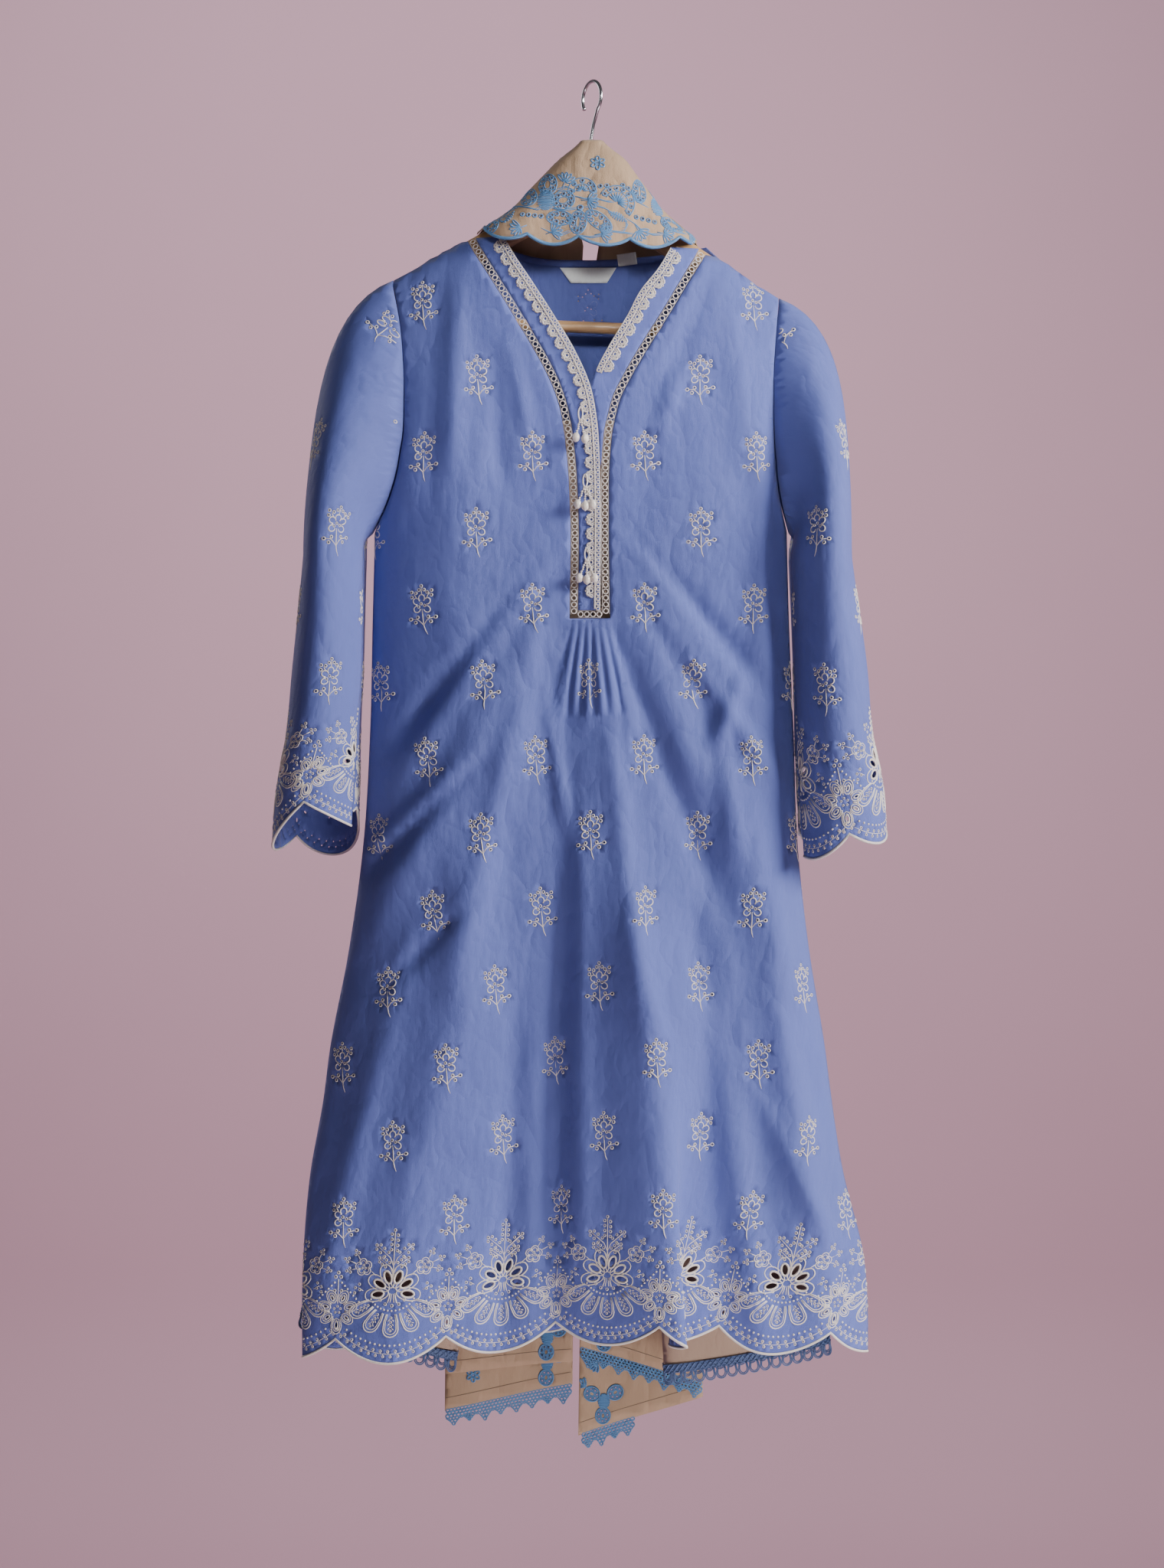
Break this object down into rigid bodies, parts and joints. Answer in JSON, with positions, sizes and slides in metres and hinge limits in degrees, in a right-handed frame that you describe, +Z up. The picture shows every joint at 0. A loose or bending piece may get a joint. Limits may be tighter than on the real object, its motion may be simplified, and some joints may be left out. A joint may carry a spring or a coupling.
{
  "type": "salwar kameez suit on a hanger",
  "caption": "Long embroidered kameez with an openwork V neck and scalloped hem, hung with its trousers and dupatta on a wooden hanger.",
  "frame": {"origin": "inside top of the hanger's hook, where the rail carries it", "axes": "+Z up, +X to the viewer's right of the kameez front, +Y from the front to the back"},
  "size_m": [0.6051, 0.1468, 1.3654],
  "materials": {
    "periwinkle_cloth": "matt woven cotton",
    "ivory_crochet": "matt crochet cord",
    "cream_cloth": "matt woven cotton",
    "slate_braid": "matt braid",
    "sky_lace": "matt crochet lace",
    "honey_wood": "clear varnish",
    "chrome_wire": "polished",
    "pearl": "pearl lustre",
    "label_tape": "satin tape"
  },
  "bodies": {
    "root": {"hanger_arms": "honey_wood", "hanger_bar": "honey_wood", "hanger_hook": "chrome_wire", "kameez_front": "periwinkle_cloth", "kameez_back": "periwinkle_cloth", "sleeve_left_front": "periwinkle_cloth", "sleeve_left_back": "periwinkle_cloth", "sleeve_right_front": "periwinkle_cloth", "sleeve_right_back": "periwinkle_cloth", "insertion_left": "ivory_crochet", "insertion_right": "ivory_crochet", "insertion_foot": "ivory_crochet", "neck_band_left": "periwinkle_cloth", "neck_band_right": "periwinkle_cloth", "trim_left": "ivory_crochet", "trim_right": "ivory_crochet", "back_neck_facing": "periwinkle_cloth", "label": "label_tape", "size_tab": "label_tape", "tassel_1": "pearl", "tassel_2": "pearl", "tassel_3": "pearl", "trouser_waistband": "cream_cloth", "hanging_tape_left": "cream_cloth", "hanging_tape_right": "cream_cloth", "trouser_front_left": "cream_cloth", "trouser_back_left": "cream_cloth", "trouser_front_right": "cream_cloth", "trouser_back_right": "cream_cloth", "trouser_lace_left_front": "slate_braid", "trouser_lace_left_back": "slate_braid", "trouser_lace_right_front": "slate_braid", "trouser_lace_right_back": "slate_braid", "dupatta_front": "cream_cloth", "dupatta_tail_left_near": "cream_cloth", "dupatta_tail_left_far": "cream_cloth", "dupatta_tail_right_near": "cream_cloth", "dupatta_tail_right_far": "cream_cloth", "dupatta_lace_left_far": "sky_lace", "dupatta_lace_right_near": "sky_lace", "dupatta_lace_right_far": "sky_lace"}
  },
  "joints": []
}
